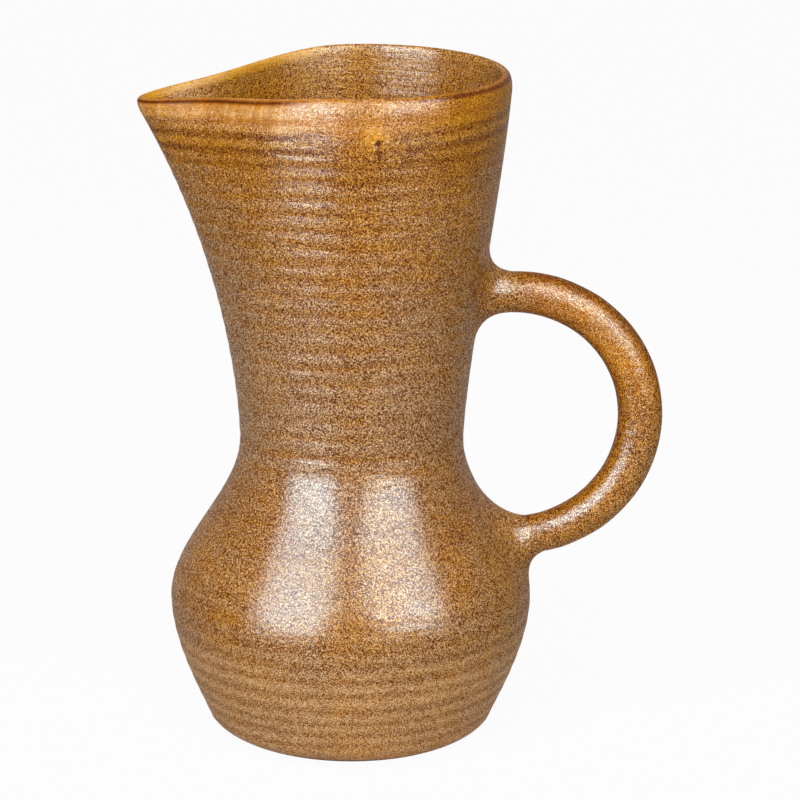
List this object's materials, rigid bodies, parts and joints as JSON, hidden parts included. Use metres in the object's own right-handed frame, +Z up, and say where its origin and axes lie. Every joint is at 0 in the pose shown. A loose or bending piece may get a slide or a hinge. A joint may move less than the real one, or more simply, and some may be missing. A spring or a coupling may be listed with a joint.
{
  "type": "stoneware pitcher",
  "caption": "Wheel-thrown stoneware pitcher: round belly, waisted flared neck with a pulled pouring lip, and a round coil handle, in speckled brown satin glaze.",
  "frame": {"origin": "centre of the flat unglazed base, on the table plane", "axes": "+Z up along the turning axis, -X toward the pouring lip, +X toward the handle; the XZ plane halves the lip and the handle"},
  "size_m": [0.209, 0.144, 0.27],
  "materials": {
    "glaze": "satin speckled brown glaze on stoneware",
    "amber_glaze": "satin amber brown glaze on stoneware",
    "slip": "fired clay slip, matt"
  },
  "bodies": {
    "root": {"belly": "glaze", "waist_slip": "slip", "neck": "glaze", "handle": "amber_glaze", "upper_handle_slip": "slip", "lower_handle_slip": "slip", "upper_joint_coil": "amber_glaze", "lower_joint_coil": "amber_glaze"}
  },
  "joints": []
}
